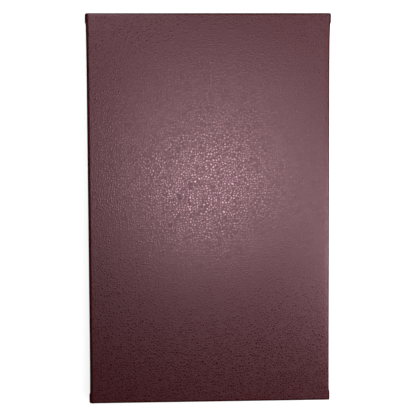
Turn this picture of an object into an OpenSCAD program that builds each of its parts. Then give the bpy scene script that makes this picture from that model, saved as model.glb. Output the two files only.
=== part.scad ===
// Coin album: a leatherette casing, a four-ring mechanism on the inside of its
// spine, and clear pocket leaves that turn on the rings. It lies closed on its
// back cover: +X points to the fore-edge, +Y to the head, +Z to the front cover.

/* [Album] */
// Width from the spine to the fore-edge, over the folded corners
album_w = 162; // [150:1:200]
// Height from the tail to the head
album_h = 260; // [210:1:320]
// Thickness when closed
album_t = 40; // [37:0.5:50]

/* [Casing] */
// Thickness of the board in the covers and the spine
board_t = 2.5; // [2:0.1:3]
// Thickness of the leatherette
skin_t = 0.5; // [0.4:0.05:0.6]
// Thickness of the lining
lining_t = 0.4; // [0.3:0.05:0.6]
// Width of leatherette that is turned over the boards' edges
turn_in = 15; // [12:1:20]
// Margin between the lining and the boards' edges
lining_edge = 5; // [3:0.5:8]
// Room at each casing corner between the turned-in leatherette of its two sides
hinge_gap = 0.1; // [0.1:0.1:1]
// Outer radius of the leatherette at the casing's folds
fold_r = 2; // [1.2:0.1:2.5]
// Overlap of the inner hinge strips on the boards
strip_leg = 8; // [5:0.5:8]
// How far the doubled leatherette of each corner stands out
corner_out = 0.45; // [0.2:0.05:0.8]
// Length of a corner's doubled leatherette
corner_len = 6.5; // [4:0.5:10]

/* [Ring mechanism] */
// Number of rings
ring_count = 4; // [2:1:4]
// Diameter of the ring wire
wire_d = 2.5; // [2.2:0.1:2.8]
// Room between the closed rings and the covers' linings
ring_clear = 2.35; // [2:0.05:4]
// Height of the ring circle's lowest point above the spine's lining
ring_foot = 3.3; // [3.2:0.05:3.4]
// Distance from each end of the plate to the nearest ring
ring_end = 24; // [20:1:40]
// Width of the arched plate
plate_w = 18; // [18:0.5:20]
// Height of the arched plate
plate_h = 6.3; // [6.2:0.1:6.6]
// Height of the plate's side walls
plate_wall = 3.2; // [3.1:0.1:3.4]
// Thickness of the plate's sheet
plate_t = 0.8; // [0.6:0.1:0.9]
// Thickness of the two blades
blade_t = 1; // [0.8:0.1:1]
// Angle that each half ring swings from closed to open
ring_swing = 5.5; // [4:0.5:6]

/* [Leaves] */
// Number of leaves
leaf_count = 7; // [3:1:7]
// Pocket columns on a leaf
pocket_cols = 3; // [2:1:4]
// Pocket rows on a leaf
pocket_rows = 6; // [4:1:8]
// Distance from the leaves to the covers' head and tail
leaf_inset_y = 12; // [10:0.5:20]
// Distance from the middle leaf to the covers' fore-edge
leaf_inset_x = 4.4; // [3:0.1:10]
// Distance from the ring holes' centres to the leaf's inner edge
hole_edge = 7; // [6:0.5:7.5]
// Distance from the ring holes' centres to the pockets
hole_pocket = 6; // [5.5:0.5:10]
// Length of a ring hole, across the leaf
hole_l = 10; // [9:0.5:10]
// Width of a ring hole, along the leaf
hole_w = 6; // [5:0.5:7]
// Thickness of the pocket film
film_t = 0.25; // [0.2:0.05:0.4]
// Thickness of the film's ring margin
strip_t = 0.6; // [0.4:0.1:0.8]
// Thickness of the card behind each leaf's pockets
card_t = 0.4; // [0.3:0.05:0.5]
// Width of the welds between pockets
weld_w = 1.2; // [0.8:0.1:2]
// Height of each pocket's open mouth
mouth_h = 2; // [1.5:0.5:4]
// Radius of the thumb notch in each mouth
thumb_r = 7; // [5:0.5:9]

/* [Hidden] */
$fn = 64;
arch_fn = 180;
// clearances
fit = 0.3;          // between pieces that are laid beside each other
run_fit = 0.05;     // radial, on a pivot
leaf_gap = 0.3;     // between two leaves, and under the lowest one
tip_gap = 0.15;     // between two closed ring tips
cut = 1;            // how far a cutting shape runs past what it cuts
// casing
board_in = skin_t + board_t;
cover_t = board_in + skin_t + lining_t;
fold_leg = board_in + skin_t + hinge_gap;
spine_x = -album_w / 2 + corner_out;
fore_x = album_w / 2 - corner_out;
head_y = album_h / 2;
cover_x = spine_x + fold_leg;
hinge_room = 1.6;
lining_start = fold_leg + hinge_room;
core_start = fold_leg + strip_leg + fit;
core_y = head_y - turn_in - fit;
// rings
wire_r = wire_d / 2;
ring_r = album_t / 2 - cover_t - ring_clear - wire_r;
ring_h = ring_r + ring_foot;
ring_x = spine_x + cover_t + ring_h;
ring_z = album_t / 2;
foot_v = 5.868;
ring_arc = 180 - asin(foot_v / ring_r);
bend_swell = 0.05;
lap_l = 0.8;
lap_turn = asin(lap_l / ring_r);
// leaves
leaf_h = album_h - 2 * leaf_inset_y;
spread_share = 0.744;
leaf_spread = spread_share * ring_r;
leaf_pitch = 2 * leaf_spread / (leaf_count - 1);
pocket_gap = leaf_pitch - leaf_gap - card_t - 2 * film_t;
pocket_zone = fore_x - leaf_inset_x - ring_x - ring_r - hole_pocket;
col_pitch = pocket_zone / pocket_cols;
row_pitch = leaf_h / pocket_rows;
leaf_z0 = -(card_t + strip_t) / 2;
film_z = leaf_z0 + card_t;
pocket_z = film_z + film_t;
card_inset = 1;
hole_x = [for (k = [1:leaf_count]) sqrt(ring_r * ring_r - leaf_z(k) * leaf_z(k))];
// The leaves lean until the lowest one's fore-edge lies on the back lining.
low_reach = hole_x[0] + hole_pocket + pocket_zone;
low_under = leaf_spread - leaf_z0;
low_room = ring_z - cover_t - leaf_gap;
leaf_tilt = asin(low_room / norm([low_reach, low_under])) - atan(low_under / low_reach);
// plate and blades, measured from the spine lining's middle
plate_inset = 1;
plate_len = leaf_h - 2 * plate_inset;
sag = plate_h - plate_wall;
arch_r = (plate_w * plate_w / 4 + sag * sag) / (2 * sag);
lip_t = 0.6;
lip_w = 1.6;
slot_room = [0.418, 0.982];
slot_in = foot_v - wire_r - slot_room[0];
slot_out = foot_v + wire_r + slot_room[1];
slot_fit = 0.3;
ring_pitch = (plate_len - 2 * ring_end) / (ring_count - 1);
blade_side = 0.4;
pivot_v = plate_w / 2 - plate_t - blade_side;
pivot_u = 1.9;
blade_end = 0.2;
blade_mid = 0.2;
notch = [1, 0.6];
bend = [ring_h + ring_r * cos(ring_arc), ring_r * sin(ring_arc)];
rest_turn = -ring_swing / 2;
bend_from = bend - [pivot_u, pivot_v];
bend_u = bend_from.x * cos(rest_turn) + bend_from.y * sin(rest_turn);
bend_v = bend_from.y * cos(rest_turn) - bend_from.x * sin(rest_turn);
// triggers and rivets
axle_in = 2;
axle_y = plate_len / 2 - axle_in;
axle_u = 1.6;
axle_r = 0.9;
hub_r = 1.3;
hub_l = 10;
arm_foot = 2;
arm_out = 5.5;
tab_out = 6.3;
tab_up = 9.4;
tab_t = 1.2;
tongue = [3, 0.7, 3];
tongue_drop = 0.65;
blade_short = 1.6;
rivet_in = 12;
rivet_y = plate_len / 2 - rivet_in;
shank_r = 1.6;
rivet_head_r = 2.6;
rivet_head_t = 0.8;
rivet_depth = 2;

RINGS = [1:ring_count];
LEAVES = [1:leaf_count];

function leaf_z(k) = (k - (leaf_count + 1) / 2) * leaf_pitch;
function ring_y(i) = (i - (ring_count + 1) / 2) * ring_pitch;

// A block between two opposite corners.
module block(a, b) {
    translate(a) cube(b - a);
}

// A rectangle between two opposite corners.
module rect(a, b) {
    translate(a) square(b - a);
}

// Turns the back cover's half of the casing over to make the front's.
module to_front() {
    translate([0, 0, album_t]) mirror([0, 0, 1]) children();
}

// Extrudes a profile drawn in X and Z along Y, over a length centred on y.
module along_y(length, y = 0) {
    translate([0, y, 0]) rotate([90, 0, 0]) linear_extrude(length, center = true) children();
}

// ---- casing ----

module cover_skin() {
    far = [fore_x - skin_t, head_y - skin_t, board_in];
    difference() {
        union() {
            block([cover_x, -head_y, 0], [fore_x, head_y, board_in + skin_t]);
            for (side = [-1, 1])
                translate([fore_x - skin_t / 2, side * (head_y - corner_len / 2), (board_in + skin_t) / 2])
                    cube([skin_t + 2 * corner_out, corner_len, board_in + skin_t], center = true);
        }
        block([cover_x - cut, -far.y, skin_t], far);
        block([cover_x - cut, turn_in - head_y, board_in - cut], [fore_x - turn_in, head_y - turn_in, cover_t]);
    }
}

module cover_board() {
    block([cover_x, skin_t - head_y, skin_t], [fore_x - skin_t, head_y - skin_t, board_in]);
}

module cover_lining() {
    block([spine_x + core_start, -core_y, board_in], [fore_x - turn_in - fit, core_y, board_in + skin_t]);
    block(
        [spine_x + lining_start, lining_edge - head_y, board_in + skin_t],
        [fore_x - lining_edge, head_y - lining_edge, cover_t]
    );
}

// Rounded outline of a casing corner, seen along the hinge.
module corner_outline() {
    translate([fold_r, fold_r]) circle(fold_r);
    rect([fold_r, 0], [fold_leg, fold_leg]);
    rect([0, fold_r], [fold_leg, fold_leg]);
}

// An L of a given thickness and leg, with its outer corner at (start, start).
module ell(start, thick, end) {
    rect([start, start], [end, start + thick]);
    rect([start, start], [start + thick, end]);
}

// The leatherette that folds about a casing corner, with its turned-in ends.
module fold() {
    translate([spine_x, 0, 0]) {
        along_y(album_h) difference() {
            corner_outline();
            translate([fold_r, fold_r]) circle(fold_r - skin_t);
            rect([fold_r, skin_t], [fold_leg + cut, fold_leg + cut]);
            rect([skin_t, fold_r], [fold_leg + cut, fold_leg + cut]);
        }
        for (side = [-1, 1]) {
            along_y(turn_in, side * (head_y - turn_in / 2)) ell(board_in, skin_t, fold_leg);
            along_y(skin_t, side * (head_y - skin_t / 2)) intersection() {
                corner_outline();
                ell(0, board_in + skin_t, fold_leg);
            }
        }
    }
}

// The strip that lines a hinge and laps onto both boards.
module strip() {
    translate([spine_x, 0, 0]) along_y(2 * core_y) ell(board_in, skin_t, fold_leg + strip_leg);
}

module back_skin() {
    color("#6b3038") cover_skin();
}

module back_board() {
    color("#9a8f80") cover_board();
}

module back_lining() {
    color("#4a1d24") cover_lining();
}

module back_fold() {
    color("#6b3038") fold();
}

module back_strip() {
    color("#4a1d24") strip();
}

module front_skin() {
    color("#6b3038") to_front() cover_skin();
}

module front_board() {
    color("#9a8f80") to_front() cover_board();
}

module front_lining() {
    color("#4a1d24") to_front() cover_lining();
}

module front_fold() {
    color("#6b3038") to_front() fold();
}

module front_strip() {
    color("#4a1d24") to_front() strip();
}

module spine_skin() {
    low = fold_leg;
    high = album_t - fold_leg;
    inner = spine_x + board_in + skin_t;
    color("#6b3038") difference() {
        union() {
            block([spine_x, -head_y, low], [inner, head_y, high]);
            for (side = [-1, 1])
                translate([spine_x, side * (head_y - corner_len / 2), ring_z])
                    cube([2 * corner_out, corner_len, high - low], center = true);
        }
        block([spine_x + skin_t, skin_t - head_y, low - cut], [spine_x + board_in, head_y - skin_t, high + cut]);
        block([spine_x + board_in - cut, turn_in - head_y, low - cut], [inner + cut, head_y - turn_in, high + cut]);
    }
}

module spine_board() {
    color("#9a8f80") difference() {
        block(
            [spine_x + skin_t, skin_t - head_y, fold_leg],
            [spine_x + board_in, head_y - skin_t, album_t - fold_leg]
        );
        rivet_shanks();
    }
}

module spine_lining() {
    color("#4a1d24") difference() {
        union() {
            block(
                [spine_x + board_in, -core_y, core_start],
                [spine_x + board_in + skin_t, core_y, album_t - core_start]
            );
            block(
                [spine_x + board_in + skin_t, lining_edge - head_y, lining_start],
                [spine_x + cover_t, head_y - lining_edge, album_t - lining_start]
            );
        }
        rivet_shanks();
    }
}

// ---- ring mechanism ----

// Moves to the middle of the spine's lining: X rises from it, Z runs across it.
module on_spine() {
    translate([spine_x + cover_t, 0, ring_z]) children();
}

module rivet_shank(side) {
    on_spine() translate([-skin_t - lining_t - rivet_depth, side * rivet_y, 0]) rotate([0, 90, 0])
        cylinder(r = shank_r, h = plate_h + skin_t + lining_t + rivet_depth);
}

module rivet_shanks() {
    for (side = [-1, 1]) rivet_shank(side);
}

module arch(r) {
    translate([plate_h - arch_r, 0]) circle(r, $fn = arch_fn);
}

module plate_profile() {
    half = plate_w / 2;
    difference() {
        intersection() {
            arch(arch_r);
            rect([0, -half], [plate_h, half]);
        }
        intersection() {
            arch(arch_r - plate_t);
            rect([-cut, plate_t - half], [plate_h, half - plate_t]);
        }
    }
    for (side = [-1, 1])
        translate([lip_t / 2, side * (half - (plate_t + lip_w) / 2)])
            square([lip_t, plate_t + lip_w], center = true);
}

module ring_plate() {
    slot_v = (slot_in + slot_out) / 2;
    color("#c9ccd0") on_spine() difference() {
        along_y(plate_len) plate_profile();
        for (i = RINGS, side = [-1, 1])
            translate([plate_h, ring_y(i), side * slot_v])
                cube([plate_h + plate_wall / 2, wire_d + 2 * slot_fit, slot_out - slot_in], center = true);
        for (side = [-1, 1]) {
            translate([plate_h / 2, side * rivet_y, 0]) rotate([0, 90, 0])
                cylinder(r = shank_r + run_fit, h = plate_h);
            translate([axle_u, side * axle_y, 0])
                cylinder(r = axle_r + run_fit, h = plate_w + cut, center = true);
        }
    }
}

// The upper blade: it pivots at the plate's wall and stays clear of the rivets.
module blade() {
    length = 2 * (axle_y - blade_short);
    on_spine() difference() {
        along_y(length) translate([pivot_u, pivot_v]) rotate(rest_turn)
            rect([-blade_t / 2, blade_mid - pivot_v], [blade_t / 2, blade_end]);
        for (side = [-1, 1])
            translate([pivot_u, side * rivet_y, 0])
                cube([2 * plate_wall, 2 * (shank_r + notch.x), 2 * (shank_r + notch.y)], center = true);
    }
}

// An upper half ring, welded to its blade by a short foot. Half of its tip's
// wire is cut away on one side (1 or -1), so that two tips lap side by side.
module half_ring(i, side) {
    on_spine() translate([0, ring_y(i), 0]) rotate([90, 0, 0]) {
        difference() {
            translate([ring_h, 0, 0]) rotate(-lap_turn) rotate_extrude(angle = ring_arc + lap_turn)
                translate([ring_r, 0]) circle(wire_r);
            translate([ring_h + ring_r, 0, side * wire_r])
                cube([2 * wire_d, 2 * (lap_l + tip_gap), wire_d + tip_gap], center = true);
        }
        translate([bend.x, bend.y, 0]) rotate([90, 0, 0]) sphere(wire_r + bend_swell);
        translate([pivot_u, pivot_v, 0]) rotate(rest_turn) translate([blade_t / 2, bend_v, 0])
            rotate([0, 90, 0]) cylinder(r = wire_r, h = bend_u - blade_t / 2);
    }
}

module upper_ring(i) {
    color("#c9ccd0") half_ring(i, 1);
}

module lower_ring(i) {
    color("#c9ccd0") to_front() half_ring(i, -1);
}

module upper_blade() {
    color("#b9bcc0") blade();
}

module lower_blade() {
    color("#b9bcc0") to_front() blade();
}

// A trigger at the head: its tongue reaches under the blades and its tab stands up.
module trigger() {
    arm = [
        [0, -axle_r],
        [arm_foot, -axle_r],
        [arm_out, 0],
        [tab_out, tab_up],
        [tab_out - tab_t, tab_up],
        [arm_out - tab_t, axle_r],
        [0, axle_r]
    ];
    on_spine() translate([axle_u, axle_y, 0]) {
        cylinder(r = axle_r, h = plate_w - 4 * run_fit, center = true);
        cylinder(r = hub_r, h = hub_l, center = true);
        mirror([1, 0, 0]) rotate(90) linear_extrude(hub_l, center = true) polygon(arm);
        translate([-tongue_drop - tongue.y, -tongue.x, -tongue.z / 2])
            cube([tongue.y, tongue.x, tongue.z]);
    }
}

module head_trigger() {
    color("#d4d6d9") trigger();
}

module tail_trigger() {
    color("#d4d6d9") mirror([0, 1, 0]) trigger();
}

module rivet(side) {
    color("#d4d6d9") {
        rivet_shank(side);
        on_spine() difference() {
            translate([plate_wall, side * rivet_y, 0]) rotate([0, 90, 0])
                cylinder(r = rivet_head_r, h = plate_h - plate_wall + rivet_head_t);
            along_y(album_h) arch(arch_r);
        }
    }
}

module head_rivet() {
    rivet(1);
}

module tail_rivet() {
    rivet(-1);
}

// ---- leaves ----

// Places a leaf on the rings: X runs from its ring holes to its fore-edge.
module on_rings(k) {
    translate([ring_x, 0, ring_z]) rotate([0, leaf_tilt, 0])
        translate([hole_x[k - 1], 0, leaf_z(k)]) children();
}

module ring_holes() {
    flat = hole_l - hole_w;
    for (i = RINGS)
        translate([0, ring_y(i), leaf_z0 - cut]) {
            for (end = [-1, 1])
                translate([end * flat / 2, 0, 0]) cylinder(d = hole_w, h = strip_t + card_t + 2 * cut);
            translate([-flat / 2, -hole_w / 2, 0]) cube([flat, hole_w, strip_t + card_t + 2 * cut]);
        }
}

module leaf_card(k) {
    y = leaf_h / 2 - card_inset;
    color("#1c1c1e") on_rings(k) difference() {
        block([-hole_edge, -y, leaf_z0], [hole_pocket + pocket_zone - card_inset, y, film_z]);
        ring_holes();
    }
}

module leaf_film(k) {
    y = leaf_h / 2;
    color("#dfe6ea") on_rings(k) difference() {
        union() {
            block([-hole_edge, -y, film_z], [hole_pocket, y, film_z + strip_t]);
            block([hole_pocket - cut, -y, film_z], [hole_pocket + pocket_zone, y, pocket_z]);
        }
        ring_holes();
    }
}

// The welds that join the two films: a line beside every column and under every row.
module leaf_welds(k) {
    y = leaf_h / 2;
    color("#c4ccd2") on_rings(k) translate([hole_pocket, 0, pocket_z]) linear_extrude(pocket_gap) {
        for (c = [0:pocket_cols])
            translate([c * (pocket_zone - weld_w) / pocket_cols, -y]) square([weld_w, leaf_h]);
        for (r = [0:pocket_rows - 1])
            translate([0, r * row_pitch - y]) square([pocket_zone, weld_w]);
    }
}

// The front film: one strip to a row, with a thumb notch in each pocket's mouth.
module leaf_pockets(k) {
    strip_h = row_pitch - mouth_h;
    color("#e6edf1") on_rings(k) translate([hole_pocket, 0, pocket_z + pocket_gap])
        for (r = [0:pocket_rows - 1])
            translate([0, r * row_pitch - leaf_h / 2, 0]) linear_extrude(film_t) difference() {
                square([pocket_zone, strip_h]);
                for (c = [0:pocket_cols - 1])
                    translate([(c + 0.5) * col_pitch, strip_h]) circle(thumb_r);
            }
}

back_skin();
back_board();
back_lining();
back_fold();
back_strip();
spine_skin();
spine_board();
spine_lining();
front_fold();
front_strip();
front_skin();
front_board();
front_lining();
ring_plate();
upper_blade();
lower_blade();
head_trigger();
tail_trigger();
head_rivet();
tail_rivet();
for (i = RINGS) upper_ring(i);
for (i = RINGS) lower_ring(i);
for (k = LEAVES) leaf_card(k);
for (k = LEAVES) leaf_film(k);
for (k = LEAVES) leaf_welds(k);
for (k = LEAVES) leaf_pockets(k);
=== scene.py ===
# %% [markdown]
# # A coin album in leatherette
#
# The album lies closed on its back cover. Its frame is loaded first: boards,
# linings, ring mechanism and pocket leaves. They have true sizes and they
# already ride on their bodies. What Blender adds is the covering, which is one
# soft sheet folded round stiff boards, and the finish of every surface.

from math import radians

import bmesh
import bpy
import numpy as np
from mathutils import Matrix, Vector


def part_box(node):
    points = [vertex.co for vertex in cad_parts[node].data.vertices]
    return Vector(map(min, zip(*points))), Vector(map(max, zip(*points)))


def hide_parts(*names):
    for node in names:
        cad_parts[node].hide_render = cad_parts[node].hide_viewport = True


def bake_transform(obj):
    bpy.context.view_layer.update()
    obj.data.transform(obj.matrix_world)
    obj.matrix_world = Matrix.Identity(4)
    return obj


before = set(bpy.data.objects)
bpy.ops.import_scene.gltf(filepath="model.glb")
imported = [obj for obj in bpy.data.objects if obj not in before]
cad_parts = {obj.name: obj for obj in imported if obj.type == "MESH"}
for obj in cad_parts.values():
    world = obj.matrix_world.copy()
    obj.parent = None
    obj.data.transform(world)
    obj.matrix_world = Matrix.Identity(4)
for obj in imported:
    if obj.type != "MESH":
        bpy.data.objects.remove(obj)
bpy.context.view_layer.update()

MM = 0.001


def low(node):
    """Lowest corner of a node's box, as an array in metres."""
    return np.array(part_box(node)[0])


def high(node):
    """Highest corner of a node's box, as an array in metres."""
    return np.array(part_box(node)[1])


skin_low, skin_high = low("back_skin"), high("back_skin")
front_high = high("front_skin")
album_t = front_high[2]
head_y = front_high[1]
spine_x = low("back_fold")[0]
outer_x = front_high[0]
corner_out = spine_x - low("spine_skin")[0]
fore_x = outer_x - corner_out
hinge_gap = skin_low[0] - spine_x
cover_depth = skin_high[2] - skin_low[2]
print("casing", np.round(np.array([outer_x, head_y, album_t]) / MM, 2), "mm")
print("gap", round(hinge_gap / MM, 2), "cover", round(cover_depth / MM, 2), "mm")

# %% [markdown]
# ## Writing shader maths as plain expressions
#
# A finish is a small formula on the surface: a grain height, a worn edge, a
# little change of colour. Wrapping each socket in a class that knows + - * and
# ** lets the formula be written as it would be on paper, while Blender still gets
# ordinary Math nodes.


# %% A socket that can be added and multiplied
class Sock:
    """One output socket; an operator on it adds the Math node for that sum."""

    def __init__(self, tree, socket):
        self.tree, self.socket = tree, socket

    def node(self, kind, settings=None, **values):
        """Adds a node, sets its settings, then fills its sockets by name."""
        made = self.tree.nodes.new(kind)
        for key, value in (settings or {}).items():
            setattr(made, key, value)
        for key, value in values.items():
            name = key.replace("_", " ")
            target = made.inputs[int(name[1:])] if name[1:].isdigit() else made.inputs[name]
            if isinstance(value, Sock):
                self.tree.links.new(value.socket, target)
            else:
                target.default_value = value
        return made

    def out(self, kind, output=0, settings=None, **values):
        """Adds a node and wraps one of its outputs."""
        return Sock(self.tree, self.node(kind, settings, **values).outputs[output])

    def maths(self, operation, *others):
        """Adds a Math node whose inputs are this socket and the others."""
        values = {f"i{n}": v for n, v in enumerate((self, *others))}
        return self.out("ShaderNodeMath", 0, {"operation": operation}, **values)

    def __add__(self, other):
        return self.maths("ADD", other)

    def __mul__(self, other):
        return self.maths("MULTIPLY", other)

    def __rsub__(self, other):
        return self.maths("MULTIPLY", -1.0).maths("ADD", other)

    def __pow__(self, other):
        return self.maths("POWER", other)

    def between(self, start, end):
        """0 at start, 1 at end, with an even slope between them."""
        values = {"Value": self, "From_Min": start, "From_Max": end}
        return self.out("ShaderNodeMapRange", 0, {"clamp": True}, **values)


def blend_colours(amount, first, second):
    """The first colour where amount is 0, the second where it is 1."""
    values = {"i0": amount, "i6": first, "i7": second}
    return amount.out("ShaderNodeMix", 2, {"data_type": "RGBA"}, **values)


def finish_named(name):
    """A new material: its Principled node and its place in object metres."""
    material = bpy.data.materials.new(name)
    material.use_nodes = True
    tree = material.node_tree
    gloss = tree.nodes["Principled BSDF"]
    place = tree.nodes.new("ShaderNodeTexCoord").outputs["Object"]
    return material, gloss, Sock(tree, place)


def feed(gloss, **values):
    """Sets or links sockets of the Principled node by their names."""
    for key, value in values.items():
        target = gloss.inputs[key.replace("_", " ")]
        if isinstance(value, Sock):
            value.tree.links.new(value.socket, target)
        else:
            target.default_value = value


def noise(place, scale, detail=2.0, rough=0.5):
    """Soft random values about 0.5, with scale features to a metre."""
    values = {"Vector": place, "Scale": scale, "Detail": detail, "Roughness": rough}
    return place.out("ShaderNodeTexNoise", 0, None, **values)


def bump(height, depth, strength=1.0):
    """A Normal from a height that runs from 0 to 1, depth metres high."""
    values = {"Height": height, "Distance": depth, "Strength": strength}
    return height.out("ShaderNodeBump", 0, None, **values)


print("sockets take: socket + x, socket * x, socket ** x, x - socket")


# %% [markdown]
# ## Burgundy leatherette
#
# The covering is a vinyl-coated cloth pressed with a pebble grain: rounded
# bumps about a millimetre and a half across, with narrow creases between them.
# Cells of a Voronoi pattern are such pebbles: the distance to a cell's border
# is 0 in a crease and grows to the pebble's middle. Bending the coordinates
# with noise first keeps the cells from looking cut out. The vinyl is dark, so
# most of what shows is the broad soft sheen of its surface.

# %% Leatherette finish
PEBBLE = 1.55 * MM
GRAIN_DEPTH = 0.035 * MM
DRIFT_SCALE = 0.45
DRIFT_BY = 0.9
SCATTER = 0.9
CREASE_WIDTH = 0.38
CREASE_POWER = 0.6
FINE_SCALE, FINE_SHARE = 2600, 0.12
PATCH_SCALE, PATCH_ROUGH = 28, 0.04
CREASE_ROUGH = 0.33
GRAIN_SHARE = 0.75
VINYL_TINT = (1, 0.63, 0.73, 1)


def pebbles(place, size):
    """Height of the grain: 0 in the creases and 1 on top of each pebble."""
    values = {"Vector": place, "Scale": DRIFT_SCALE / size, "Detail": 1.0}
    drift = place.out("ShaderNodeTexNoise", 1, None, **values)
    values = {"Vector": drift, "Scale": DRIFT_BY * size}
    shift = drift.out("ShaderNodeVectorMath", 0, {"operation": "SCALE"}, **values)
    bent = place.out("ShaderNodeVectorMath", 0, {"operation": "ADD"}, i0=place, i1=shift)
    values = {"Vector": bent, "Scale": 1 / size, "Randomness": SCATTER}
    edge = bent.out("ShaderNodeTexVoronoi", 0, {"feature": "DISTANCE_TO_EDGE"}, **values)
    return edge.between(0.0, CREASE_WIDTH) ** CREASE_POWER


def leatherette(name, dark, light, rough):
    """Pebble-grained vinyl: creases duller than the pebble tops, and darker by painted shade."""
    material, gloss, place = finish_named(name)
    grain = pebbles(place, PEBBLE)
    fine = noise(place, FINE_SCALE, 2.0)
    patch = noise(place, PATCH_SCALE, 3.0)
    # The colour runs to the dark end in the creases. That is painted shade in the grain's hollows,
    # and a random patch tone of the vinyl is mixed in.
    tone_and_crease_shade = grain * GRAIN_SHARE + patch * (1 - GRAIN_SHARE)
    feed(
        gloss,
        Base_Color=blend_colours(tone_and_crease_shade, dark, light),
        Roughness=patch * PATCH_ROUGH + (1 - grain) * CREASE_ROUGH + rough,
        Normal=bump(grain + fine * FINE_SHARE, GRAIN_DEPTH),
        IOR=1.5,
        Specular_Tint=VINYL_TINT,
    )
    return material


# The dark colours are the crease colours: painted shade in the grain's hollows, mixed with a
# random tone of the vinyl.
COVER_DARK_CREASE_SHADE, COVER_LIGHT = (0.027, 0.0005, 0.0015, 1), (0.038, 0.0009, 0.0026, 1)
LINING_DARK_CREASE_SHADE, LINING_LIGHT = (0.012, 0.0018, 0.003, 1), (0.026, 0.004, 0.006, 1)
burgundy = leatherette("burgundy_leatherette", COVER_DARK_CREASE_SHADE, COVER_LIGHT, 0.145)
lining_vinyl = leatherette("lining_leatherette", LINING_DARK_CREASE_SHADE, LINING_LIGHT, 0.5)
print("pebbles", PEBBLE / MM, "mm, grain", GRAIN_DEPTH / MM, "mm deep")

# %% [markdown]
# ## The covering: one sheet, folded round the boards
#
# On the real album one piece of leatherette runs over the front cover, the
# spine and the back cover, and its edges are turned over the boards and glued
# down inside. It could be a box with bevelled edges, but then the folds at the
# spine and the turned-in edges would be missing. So it is drawn as a bookbinder
# makes it: a path across the album gives the outside, and at every edge the
# sheet follows a rim, which goes round the board and back on the inside.
#
# The spine meets both covers at a hinge, and a piece can bend over only one
# hinge, so the sheet is two pieces that meet along the middle of the spine.

# %% Sizes of the folded sheet
EDGE_R = 1.15 * MM
FOLD_R = 2.0 * MM
CORNER_R = 0.9 * MM
TURNED_STEPS = np.array([2, 5, 9, 12.5, 14]) * MM
END_ROWS = np.array([0.4, 0.8, 1.2, 1.6, 2.0, 3.0, 4.5, 5.2, 5.8, 6.4, 7.2]) * MM
FOLD_DEPTH = 1.15 * MM
CORNER_LEN = 6.5 * MM
CORNER_STEP = 1.6 * MM
FLARE_LEN = 12 * MM
SPINE_FLARE = (0.2 * MM, 0.3 * MM)
FORE_FLARE = (0.1 * MM, 0.6 * MM)
SHEET_T = 0.4 * MM
RAMP = 40 * MM
ROW_STEP = 2.6 * MM
SINK_FROM = hinge_gap - 1.2 * MM
SINK_TO = hinge_gap + 0.2 * MM
QUARTER_STEPS = 6
FOLD_STEPS = 16


def smooth(values, start, end):
    """0 before start, 1 after end, with a slope that starts and ends level."""
    t = np.clip((values - start) / (end - start), 0, 1)
    return t * t * (3 - 2 * t)


def rim_levels():
    """The rim round a board's edge, in steps from the outside to the turned-in end.

    Each step has how far it lies outside the flat (in edge radii, then in
    metres once it has turned), its share of the first and last quarter turns,
    and how much of the board's depth lies above it.
    """
    quarter = np.radians(np.linspace(0, 90, QUARTER_STEPS + 1))[1:]
    none, full = np.zeros(QUARTER_STEPS), np.ones(QUARTER_STEPS)
    out = np.concatenate([EDGE_R * np.sin(quarter), [EDGE_R, EDGE_R], EDGE_R * np.cos(quarter)])
    first = np.concatenate([1 - np.cos(quarter), [1, 1], full])
    last = np.concatenate([none, [0, 0], np.sin(quarter)])
    flat = np.concatenate([none, [1 / 3, 2 / 3], full])
    ones = np.ones(len(TURNED_STEPS))
    out = np.concatenate([out, -TURNED_STEPS])
    return out, np.append(first, ones), np.append(last, ones), np.append(flat, ones)


OUT, FIRST, LAST, FLAT = rim_levels()
CORNER_RADII = CORNER_R * np.clip(OUT / EDGE_R, 0, None)
print("a rim has", len(OUT), "steps")


# %% The path across the casing
def rim_depth(depth):
    """Depth of every rim step under a surface whose board is depth thick."""
    turn = np.minimum(EDGE_R, depth / 2)[..., None]
    return turn * FIRST + (depth[..., None] - 2 * turn) * FLAT + turn * LAST


def casing_path():
    """The outside of half a casing, from mid-spine to the fore-edge.

    Distances p from the spine's face and q from the cover's face: up the
    spine, a quarter circle, then along the cover. Returns p, q, the outward
    normal and the depth of the board behind each point.
    """
    half = album_t / 2
    spine = np.linspace(half, FOLD_R, 30)[:-1]
    near = np.linspace(hinge_gap + MM, FOLD_R, 12)[1:-1]
    spine = np.unique(np.concatenate([spine, near]))[::-1]
    turn = np.radians(np.linspace(0, 90, FOLD_STEPS + 1))
    flat_from = np.linspace(FOLD_R, hinge_gap + MM, 12)[1:]
    end = fore_x - spine_x - EDGE_R
    flat = np.linspace(hinge_gap + MM, end, int(end / ROW_STEP))[1:]
    along = np.concatenate([flat_from, flat])
    p = np.concatenate([np.zeros(len(spine)), FOLD_R * (1 - np.cos(turn)), along])
    q = np.concatenate([spine, FOLD_R * (1 - np.sin(turn)), np.zeros(len(along))])
    normal_p = np.concatenate([-np.ones(len(spine)), -np.cos(turn), np.zeros(len(along))])
    normal_q = np.concatenate([np.zeros(len(spine)), -np.sin(turn), -np.ones(len(along))])
    reach = np.maximum(p, q)
    depth = FOLD_DEPTH + (cover_depth - FOLD_DEPTH) * smooth(reach, SINK_FROM, SINK_TO)
    return p, q, normal_p, normal_q, depth


def corner_swell(y, flare):
    """How far the leatherette stands out, near the head and the tail.

    A fold's doubled leatherette is a step at CORNER_LEN, and the sheet rises
    towards it along a curve that fades with the distance; flare holds the
    heights of that rise at the tail and at the head.
    """
    from_end = head_y - np.abs(y)
    half = CORNER_STEP / 2
    step = corner_out * (1 - smooth(from_end, CORNER_LEN - half, CORNER_LEN + half))
    rise = np.exp(-np.clip(from_end - CORNER_LEN, 0, None) / FLARE_LEN)
    return step + np.where(y > 0, flare[1], flare[0]) * rise


print("the path has", len(casing_path()[0]), "points")


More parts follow.
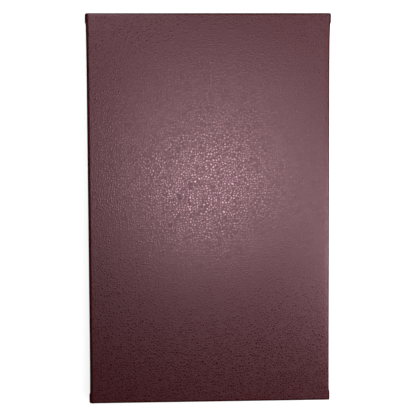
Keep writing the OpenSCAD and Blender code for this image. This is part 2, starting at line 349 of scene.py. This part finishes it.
# %% Meshes from grids
def weld_grid(name, points, faces):
    """A mesh from points and rows of indices, with doubled points merged."""
    mesh = bpy.data.meshes.new(name)
    mesh.from_pydata(points.tolist(), [], faces)
    shape = bmesh.new()
    shape.from_mesh(mesh)
    bmesh.ops.remove_doubles(shape, verts=shape.verts, dist=0.002 * MM)
    bmesh.ops.recalc_face_normals(shape, faces=shape.faces)
    shape.to_mesh(mesh)
    shape.free()
    mesh.shade_smooth()
    piece = bpy.data.objects.new(name, mesh)
    bpy.context.collection.objects.link(piece)
    return piece


def quads(index):
    """Rows of four indices for every cell of a grid of point indices."""
    corners = [index[:-1, :-1], index[1:, :-1], index[1:, 1:], index[:-1, 1:]]
    return np.stack(corners, axis=-1).reshape(-1, 4)


def clean(faces):
    """Index rows as lists, where a corner that comes twice in a row is kept once."""
    same = faces == np.roll(faces, -1, axis=1)
    doubled = same.any(axis=1)
    pairs = zip(faces[doubled], same[doubled], strict=True)
    kept = [row[~double].tolist() for row, double in pairs]
    return faces[~doubled].tolist() + [row for row in kept if len(row) == 3]


def make_outward(piece, up):
    """Turns a sheet over if the faces on its broad flat side point inwards."""
    mesh = piece.data
    normals = np.empty(len(mesh.polygons) * 3)
    areas = np.empty(len(mesh.polygons))
    mesh.polygons.foreach_get("normal", normals)
    mesh.polygons.foreach_get("area", areas)
    facing = (normals.reshape(-1, 3) @ up) * areas
    if facing.sum() < 0:
        mesh.flip_normals()


# %% The parts of the sheet
def core_sheet(path, y):
    """The path swept along Y, swollen on the spine near the head and the tail."""
    p, q, normal_p, _, _ = path
    at_spine = np.clip(-normal_p, 0, 1)
    core_p = p[:, None] - at_spine[:, None] ** 2 * corner_swell(y, SPINE_FLARE)
    core_q = np.broadcast_to(q[:, None], core_p.shape)
    return np.stack([core_p, np.broadcast_to(y, core_p.shape), core_q], axis=-1)


def head_rim(path, core_y):
    """The path sinks by the rim's depth while Y moves by the rim's reach."""
    p, q, normal_p, normal_q, depth = path
    sink = rim_depth(depth)
    ramp = np.clip((p - (p[-1] - RAMP)) / RAMP, 0, 1) * (q < FOLD_R)
    side_p = p[:, None] + ramp[:, None] * (OUT - CORNER_RADII) - normal_p[:, None] * sink
    side_q = q[:, None] - normal_q[:, None] * sink
    return np.stack([side_p, np.broadcast_to(core_y + OUT, side_p.shape), side_q], axis=-1)


def corner_rim(end_p, sink, core_y):
    """A quarter turn from the head rim to the fore-edge rim, at every rim step."""
    angle = np.radians(np.linspace(90, 0, QUARTER_STEPS + 1))[:, None]
    turn_p = end_p + OUT - CORNER_RADII + CORNER_RADII * np.cos(angle)
    turn_y = core_y + OUT - CORNER_RADII + CORNER_RADII * np.sin(angle)
    return np.stack([turn_p, turn_y, np.broadcast_to(sink, turn_p.shape)], axis=-1)


def fore_rim(end_p, sink, y, core_y):
    """The fore-edge's rim at every y, narrowed towards the mitred corners."""
    inner = np.clip((np.abs(y) - (core_y - RAMP)) / RAMP, 0, 1) * np.sign(y)
    fore_y = y[:, None] + inner[:, None] * (OUT - CORNER_RADII)
    fore_p = np.broadcast_to(end_p + OUT, fore_y.shape)
    return np.stack([fore_p, fore_y, np.broadcast_to(sink, fore_y.shape)], axis=-1)


def rim_ring(path, y, core_y):
    """All rims in one ring, from the head's spine end to the tail's spine end."""
    p, _, normal_p, _, depth = path
    sink = rim_depth(np.array([depth[-1]]))[0]
    side = head_rim(path, core_y)
    turn = corner_rim(p[-1], sink, core_y)
    fore = fore_rim(p[-1], sink, y, core_y)
    mirror = np.array([1, -1, 1])
    tail_turn, tail_side = turn * mirror, side * mirror
    for part in (fore, turn, tail_turn):
        swell = corner_swell(part[..., 1], FORE_FLARE)
        part[..., 0] += swell * np.clip(OUT / EDGE_R, 0, 1)
    at_spine = np.clip(-normal_p, 0, 1)
    fade = np.clip(1 - FIRST, 0, 1)
    for part in (side, tail_side):
        swell = corner_swell(part[..., 1], SPINE_FLARE)
        part[..., 0] -= swell * fade * at_spine[:, None] ** 2
    tail = [tail_turn[1:-1][::-1], tail_side[::-1]]
    return np.concatenate([side, turn[1:-1], fore[::-1], *tail])


def sheet_faces(core_shape, ring_shape):
    """Quads over the core, and from the core's border outwards over the ring."""
    core = np.arange(np.prod(core_shape)).reshape(core_shape)
    ring = core.size + np.arange(np.prod(ring_shape)).reshape(ring_shape)
    at_turn = QUARTER_STEPS - 1
    head_turn, tail_turn = np.full(at_turn, core[-1, -1]), np.full(at_turn, core[-1, 0])
    start = np.concatenate([core[:, -1], head_turn, core[-1, ::-1], tail_turn, core[::-1, 0]])
    return np.concatenate([quads(core), quads(np.column_stack([start, ring]))])


# %% The sheet of half a casing
def wrap(name, front):
    """The leatherette of one cover, one fold and half the spine.

    The core is the path swept along Y. Three rims close it: at the head and
    the tail the path sinks by the rim's depth as Y moves by its reach, and at
    the fore-edge the same happens in X. A rim ring narrows towards the turned
    corner, so the turned-in edges meet in a mitre.
    """
    path = casing_path()
    core_y = head_y - EDGE_R
    y = np.linspace(-core_y, core_y, int(2 * core_y / ROW_STEP))
    ends = core_y - END_ROWS
    y = np.unique(np.concatenate([y, ends, -ends]))
    core, ring = core_sheet(path, y), rim_ring(path, y, core_y)
    points = np.concatenate([core.reshape(-1, 3), ring.reshape(-1, 3)])
    place = points.copy()
    place[:, 0] = spine_x + points[:, 0]
    place[:, 2] = album_t - points[:, 2] if front else points[:, 2]
    piece = weld_grid(name, place, clean(sheet_faces(core.shape[:2], ring.shape[:2])))
    make_outward(piece, np.array([0, 0, 1 if front else -1]))
    solid = piece.modifiers.new("sheet", "SOLIDIFY")
    solid.thickness = SHEET_T
    solid.offset = -1
    return piece


front_wrap = wrap("front_wrap", True)
back_wrap = wrap("back_wrap", False)
for piece in (front_wrap, back_wrap):
    piece.data.materials.append(burgundy)
    print(piece.name, len(piece.data.polygons), "faces")
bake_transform(front_wrap)
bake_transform(back_wrap)
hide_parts("front_skin", "front_fold", "spine_skin")
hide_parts("back_skin", "back_fold")

# %% [markdown]
# ## Hinge strips
#
# Inside, a strip of lining goes down into each hinge gap, so the boards can
# fold without tearing the paper. A path with a groove in it, swept along the
# album, is enough.


# %% Inner hinge strips
STRIP_LEG = 8 * MM
STRIP_T = 0.25 * MM
STRIP_DEEP = 1.15 * MM
STRIP_LIFT = 0.05 * MM
STRIP_EDGE_R = 0.35 * MM
STRIP_FOLD_R = 1.1 * MM
STRIP_STEP = 0.2 * MM
STRIP_ROWS = 60
STRIP_LEG_STEPS = 6


def hinge_strip(name, front):
    """A strip whose section runs along the spine, into the gap and out again."""
    flat, leg = cover_depth, hinge_gap + STRIP_LEG
    edge = hinge_gap - STRIP_LIFT
    bend = np.radians(np.linspace(0, 90, 9))
    down_p = flat - STRIP_EDGE_R * (1 - np.cos(bend))
    down_q = edge + STRIP_EDGE_R - STRIP_EDGE_R * np.sin(bend)
    fold_p = STRIP_DEEP + STRIP_FOLD_R - STRIP_FOLD_R * np.cos(bend)
    fold_q = STRIP_DEEP + STRIP_FOLD_R - STRIP_FOLD_R * np.sin(bend)
    leg_q = np.linspace(leg, edge + 2 * STRIP_EDGE_R, STRIP_LEG_STEPS)
    p = np.concatenate([np.full(STRIP_LEG_STEPS, flat), down_p, [STRIP_DEEP + STRIP_STEP], fold_p])
    q = np.concatenate([leg_q, down_q, [edge], fold_q])
    section = np.stack([np.concatenate([p, q[::-1]]), np.concatenate([q, p[::-1]])], axis=-1)
    y = np.linspace(low("front_strip")[1], high("front_strip")[1], STRIP_ROWS)
    points = np.empty((len(section), len(y), 3))
    points[..., 0] = spine_x + section[:, 0, None]
    points[..., 1] = y
    points[..., 2] = album_t - section[:, 1, None] if front else section[:, 1, None]
    index = np.arange(points.shape[0] * points.shape[1]).reshape(points.shape[:2])
    piece = weld_grid(name, points.reshape(-1, 3), clean(quads(index)))
    make_outward(piece, np.array([1, 0, -1 if front else 1]))
    piece.data.materials.append(lining_vinyl)
    solid = piece.modifiers.new("sheet", "SOLIDIFY")
    solid.thickness = STRIP_T
    solid.offset = 1
    return piece


front_lined = hinge_strip("front_hinge_strip", True)
back_lined = hinge_strip("back_hinge_strip", False)
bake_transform(front_lined)
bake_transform(back_lined)
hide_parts("front_strip")
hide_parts("back_strip")
print("hinge strips", len(front_lined.data.polygons), "faces each")

# %% [markdown]
# ## Nickel, steel, card, board and film
#
# The mechanism's arch, rings and triggers are bright nickel with faint drawn
# lines, and its blades are duller spring steel. The interleaves are black card
# with a slight fibre, the boards are grey chip, and the pockets are clear
# vinyl, so what they need is a smooth gloss, a little haze and a low opacity.


# %% Metal, card and film finishes
SHADE = 0.93
FILM_SHADE = 0.9
DRAWN_DEPTH = 0.004 * MM
FIBRE_DEPTH = 0.03 * MM
WAVE_DEPTH = 0.25 * MM
FILM_ROUGH = 0.08


def shaded(colour, share):
    """The same colour with a share of its brightness."""
    return tuple(share * part for part in colour[:3]) + (1,)


def metal(name, colour, rough, stretch):
    """Polished metal whose roughness changes along fine drawn lines."""
    material, gloss, place = finish_named(name)
    drawn = place.out("ShaderNodeMapping", 0, None, Vector=place, Scale=stretch)
    lines = noise(drawn, 900, 3.0)
    smear = noise(place, 60, 2.0)
    feed(
        gloss,
        Base_Color=blend_colours(smear, colour, shaded(colour, SHADE)),
        Metallic=1.0,
        Roughness=lines * 0.08 + smear * 0.05 + rough,
        Normal=bump(lines, DRAWN_DEPTH, 0.5),
    )
    return material


def fibrous(name, dark, light, rough, scale):
    """Card or board: short fibres change the colour and lift the surface."""
    material, gloss, place = finish_named(name)
    fibres = noise(place, scale, 4.0, 0.65)
    clouds = noise(place, scale / 20, 2.0)
    feed(
        gloss,
        Base_Color=blend_colours(fibres * 0.6 + clouds * 0.4, dark, light),
        Roughness=fibres * 0.1 + rough,
        Normal=bump(fibres, FIBRE_DEPTH),
    )
    return material


def film(name, opacity, tint):
    """Clear vinyl: mostly seen through, with a faint haze and soft waves."""
    material, gloss, place = finish_named(name)
    waves = noise(place, 45, 2.0)
    haze = noise(place, 400, 3.0)
    feed(
        gloss,
        Base_Color=blend_colours(haze, tint, shaded(tint, FILM_SHADE)),
        Roughness=haze * 0.08 + FILM_ROUGH,
        Alpha=haze * 0.08 + opacity,
        Normal=bump(waves, WAVE_DEPTH),
        IOR=1.53,
    )
    return material


nickel = metal("nickel", (0.78, 0.77, 0.75, 1), 0.14, (1, 6, 1))
steel = metal("spring_steel", (0.62, 0.63, 0.65, 1), 0.26, (1, 8, 1))
CARD_DARK, CARD_LIGHT = (0.008, 0.008, 0.009, 1), (0.02, 0.02, 0.021, 1)
BOARD_DARK, BOARD_LIGHT = (0.2, 0.17, 0.14, 1), (0.34, 0.3, 0.25, 1)
black_card = fibrous("black_card", CARD_DARK, CARD_LIGHT, 0.72, 1400)
grey_board = fibrous("grey_board", BOARD_DARK, BOARD_LIGHT, 0.85, 900)
clear_film = film("clear_film", 0.2, (0.8, 0.84, 0.86, 1))
clear_weld = film("film_weld", 0.5, (0.82, 0.86, 0.88, 1))
print(len(bpy.data.materials), "materials")

# %% Give each frame node its finish
FINISHES = {
    "board": grey_board,
    "lining": lining_vinyl,
    "blade": steel,
    "card": black_card,
    "film": clear_film,
    "pockets": clear_film,
    "welds": clear_weld,
}
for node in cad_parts:
    piece = bpy.data.objects[node]
    finish = FINISHES.get(node.rsplit("_", 1)[-1], nickel)
    if node.endswith(("_skin", "_fold")):
        finish = burgundy
    piece.data.materials.clear()
    piece.data.materials.append(finish)
print(len(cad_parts), "frame nodes have a finish")

# %% [markdown]
# ## Floor, light and camera
#
# The album lies on a pale floor. Two lamps hang close together over its middle
# and make the sheen: a small one that brings out the grain and a wide one round
# it. Five weaker panels hang lower, beyond the fore-edge and the head, so the
# sheen fades towards the tail and the spine. The sky lights the sides from low
# down and is dark overhead. The camera looks almost straight down.


# %% Floor and lamps
FLOOR_HALF = 4.0
FLOOR_GLOW = 0.8
KEY_RISE, PANEL_RISE = 0.7, 0.35
KEYS = {
    "key": ((0.036, -0.018), 0.1, 1.1),
    "wide_key": ((0.03, 0.03), 0.28, 0.85),
}
PANEL_SIZE = 0.2
PANELS = {
    "right": ((0.24, -0.06), 1.0),
    "far_right": ((0.24, 0.28), 0.55),
    "far_left": ((-0.13, 0.28), 0.85),
    "middle": ((0.12, 0.05), 0.1),
    "side": ((0.24, 0.1), 0.2),
}


def floor_sheet():
    """A pale floor, large enough for every view."""
    mesh = bpy.data.meshes.new("floor")
    far = FLOOR_HALF
    corners = [(-far, -far, 0), (far, -far, 0), (far, far, 0), (-far, far, 0)]
    mesh.from_pydata(corners, [], [(0, 1, 2, 3)])
    floor = bpy.data.objects.new("floor", mesh)
    bpy.context.collection.objects.link(floor)
    material, gloss, _ = finish_named("pale_floor")
    feed(gloss, Base_Color=(0.5, 0.5, 0.5, 1), Roughness=1.0, Specular_IOR_Level=0.0)
    feed(gloss, Emission_Color=(1, 1, 1, 1), Emission_Strength=FLOOR_GLOW)
    mesh.materials.append(material)
    floor.visible_glossy = False


def lamp(name, place, size, power):
    """A soft round lamp that hangs level over the album."""
    light = bpy.data.lights.new(name, "AREA")
    light.shape = "ELLIPSE"
    light.size = light.size_y = size
    light.energy = power
    holder = bpy.data.objects.new(name, light)
    bpy.context.collection.objects.link(holder)
    holder.location = place
    holder.visible_camera = False


floor_sheet()
for name, (place, size, power) in KEYS.items():
    lamp(name, (*place, album_t + KEY_RISE), size, power)
for name, (place, power) in PANELS.items():
    lamp(name, (*place, album_t + PANEL_RISE), PANEL_SIZE, power)
print(len(KEYS) + len(PANELS), "lamps")

# %% Sky
GLOW_BAND = (0.1, 0.6)
HORIZON_GLOW, ZENITH_GLOW = 0.8, 0.01
BACKDROP = 0.94
world = bpy.data.worlds.new("studio")
bpy.context.scene.world = world
world.use_nodes = True
sky = world.node_tree
around = Sock(sky, sky.nodes.new("ShaderNodeTexCoord").outputs["Generated"])
height = around.out("ShaderNodeSeparateXYZ", 2, None, Vector=around)
seen = height.out("ShaderNodeLightPath", 0)
glow = (1 - height.between(*GLOW_BAND)) * HORIZON_GLOW + ZENITH_GLOW
strength = (1 - seen) * glow + seen * BACKDROP
sky.links.new(strength.socket, sky.nodes["Background"].inputs["Strength"])
bpy.context.scene.view_settings.view_transform = "Standard"

# %% Camera
CAMERA_FAR = 0.8
TURN = (-3.96, -2.71, -0.28)
LENS = 103.85
AIM = (-0.0008, 0.0011)
camera_data = bpy.data.cameras.new("camera")
camera_data.lens = LENS
camera_data.sensor_width = 36
camera = bpy.data.objects.new("camera", camera_data)
bpy.context.collection.objects.link(camera)
camera.rotation_euler = [radians(angle) for angle in TURN]
aim = Vector((*AIM, album_t))
camera.location = aim + camera.rotation_euler.to_matrix() @ Vector((0, 0, CAMERA_FAR))
bpy.context.scene.camera = camera
print("camera", [round(part, 3) for part in camera.location])
